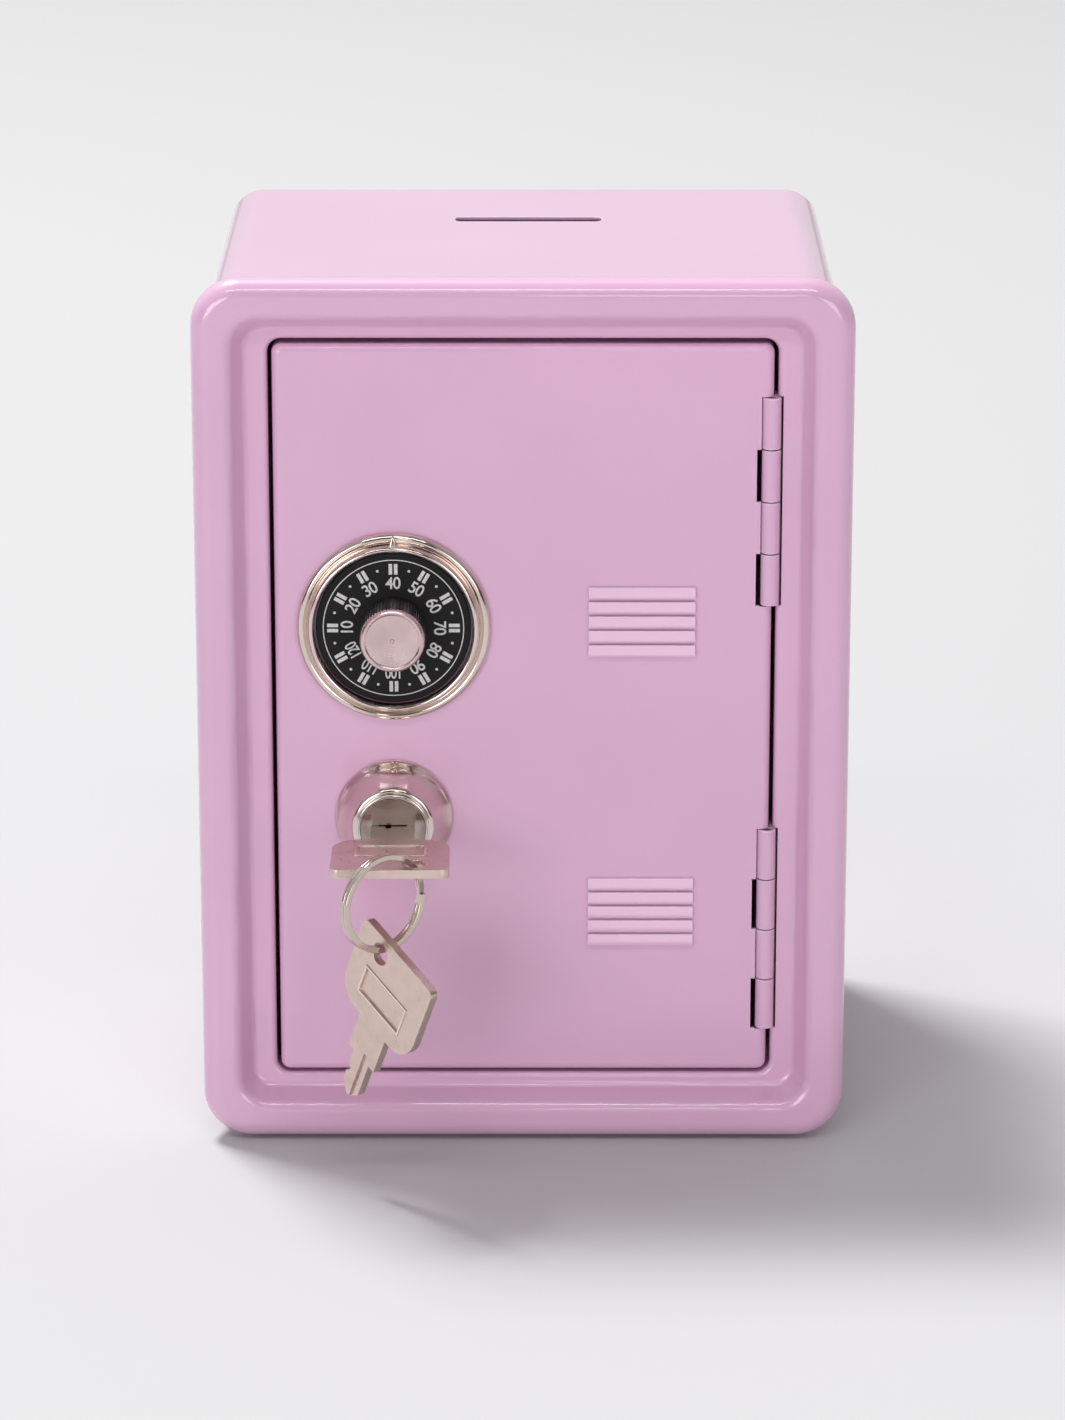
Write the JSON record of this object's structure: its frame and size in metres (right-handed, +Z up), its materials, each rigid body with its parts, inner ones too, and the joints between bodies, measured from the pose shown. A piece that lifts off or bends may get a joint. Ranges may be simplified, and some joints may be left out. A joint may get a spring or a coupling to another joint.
{
  "type": "toy safe coin bank",
  "caption": "Small painted sheet-metal safe for coins: hinged front door with a turning dial, a cam lock with its key and spare key, and a coin slot in the top.",
  "frame": {"origin": "on the ground, under the middle of the case's width and depth", "axes": "+Z up, -Y out of the door, +X to the right of someone facing the door"},
  "size_m": [0.125, 0.1445, 0.172],
  "materials": {
    "pink_enamel": "gloss enamel, light lilac pink",
    "foot_rubber": "matte black rubber",
    "hinge_steel": "drawn steel wire",
    "chrome_plate": "bright chrome plate",
    "nickel_plate": "bright nickel plate on zinc die casting",
    "zinc_steel": "zinc plated steel",
    "dial_black": "satin black with white printing",
    "dial_aluminium": "turned and knurled aluminium",
    "wafer_brass": "stamped brass",
    "key_nickel": "nickel plated steel",
    "ring_steel": "nickel plated spring steel"
  },
  "bodies": {
    "case": {"front_frame": "pink_enamel", "body_wrap": "pink_enamel", "back_panel": "pink_enamel", "foot_front_left": "foot_rubber", "foot_front_right": "foot_rubber", "foot_rear_left": "foot_rubber", "foot_rear_right": "foot_rubber", "upper_hinge_frame_leaf": "pink_enamel", "lower_hinge_frame_leaf": "pink_enamel"},
    "door": {"door_panel": "pink_enamel", "upper_hinge_door_leaf": "pink_enamel", "lower_hinge_door_leaf": "pink_enamel", "upper_hinge_pin": "hinge_steel", "lower_hinge_pin": "hinge_steel", "dial_bezel": "chrome_plate", "lock_escutcheon": "chrome_plate", "lock_housing": "nickel_plate", "lock_nut": "zinc_steel"},
    "dial": {"dial_disc": "dial_black", "dial_knob": "dial_aluminium", "dial_shaft": "hinge_steel", "dial_spring_washer": "zinc_steel", "dial_nut": "zinc_steel"},
    "lock_plug": {"lock_plug": "nickel_plate", "lock_cam": "zinc_steel", "cam_washer": "zinc_steel", "cam_screw": "zinc_steel"},
    "wafers": {"lock_wafers": "wafer_brass"},
    "lock_key": {"lock_key": "key_nickel"},
    "key_ring": {"key_ring": "ring_steel"},
    "spare_key": {"spare_key": "key_nickel"}
  },
  "joints": [
    {"name": "door_swing", "type": "hinge", "parent": "case", "child": "door", "pos_m": [0.047, -0.045, 0.0863], "axis": [0, 0, 1], "range_deg": [0, 130]},
    {"name": "dial_turn", "type": "hinge", "parent": "door", "child": "dial", "pos_m": [-0.0247, -0.05, 0.104], "axis": [0, -1, 0], "continuous": true},
    {"name": "lock_turn", "type": "hinge", "parent": "door", "child": "lock_plug", "pos_m": [-0.0249, -0.05, 0.0659], "axis": [0, -1, 0], "range_deg": [0, 90]},
    {"name": "key_pull", "type": "slide", "parent": "lock_plug", "child": "lock_key", "axis": [0, -1, 0], "range_m": [0, 0.012]},
    {"name": "wafer_slide", "type": "slide", "parent": "lock_plug", "child": "wafers", "axis": [1, 0, 0], "range_m": [0, 0.0003]},
    {"name": "ring_lift", "type": "hinge", "parent": "lock_key", "child": "key_ring", "pos_m": [-0.0205, -0.0778, 0.0659], "axis": [-0.6428, 0.766, 0], "range_deg": [0, 45]},
    {"name": "spare_key_swing", "type": "hinge", "parent": "key_ring", "child": "spare_key", "pos_m": [-0.02605, -0.08245, 0.05169], "axis": [-0.766, -0.6428, 0], "range_deg": [-25, 25]}
  ],
  "couplings": [
    {"joint": "wafer_slide", "follows": "key_pull", "ratio": 0.025}
  ]
}
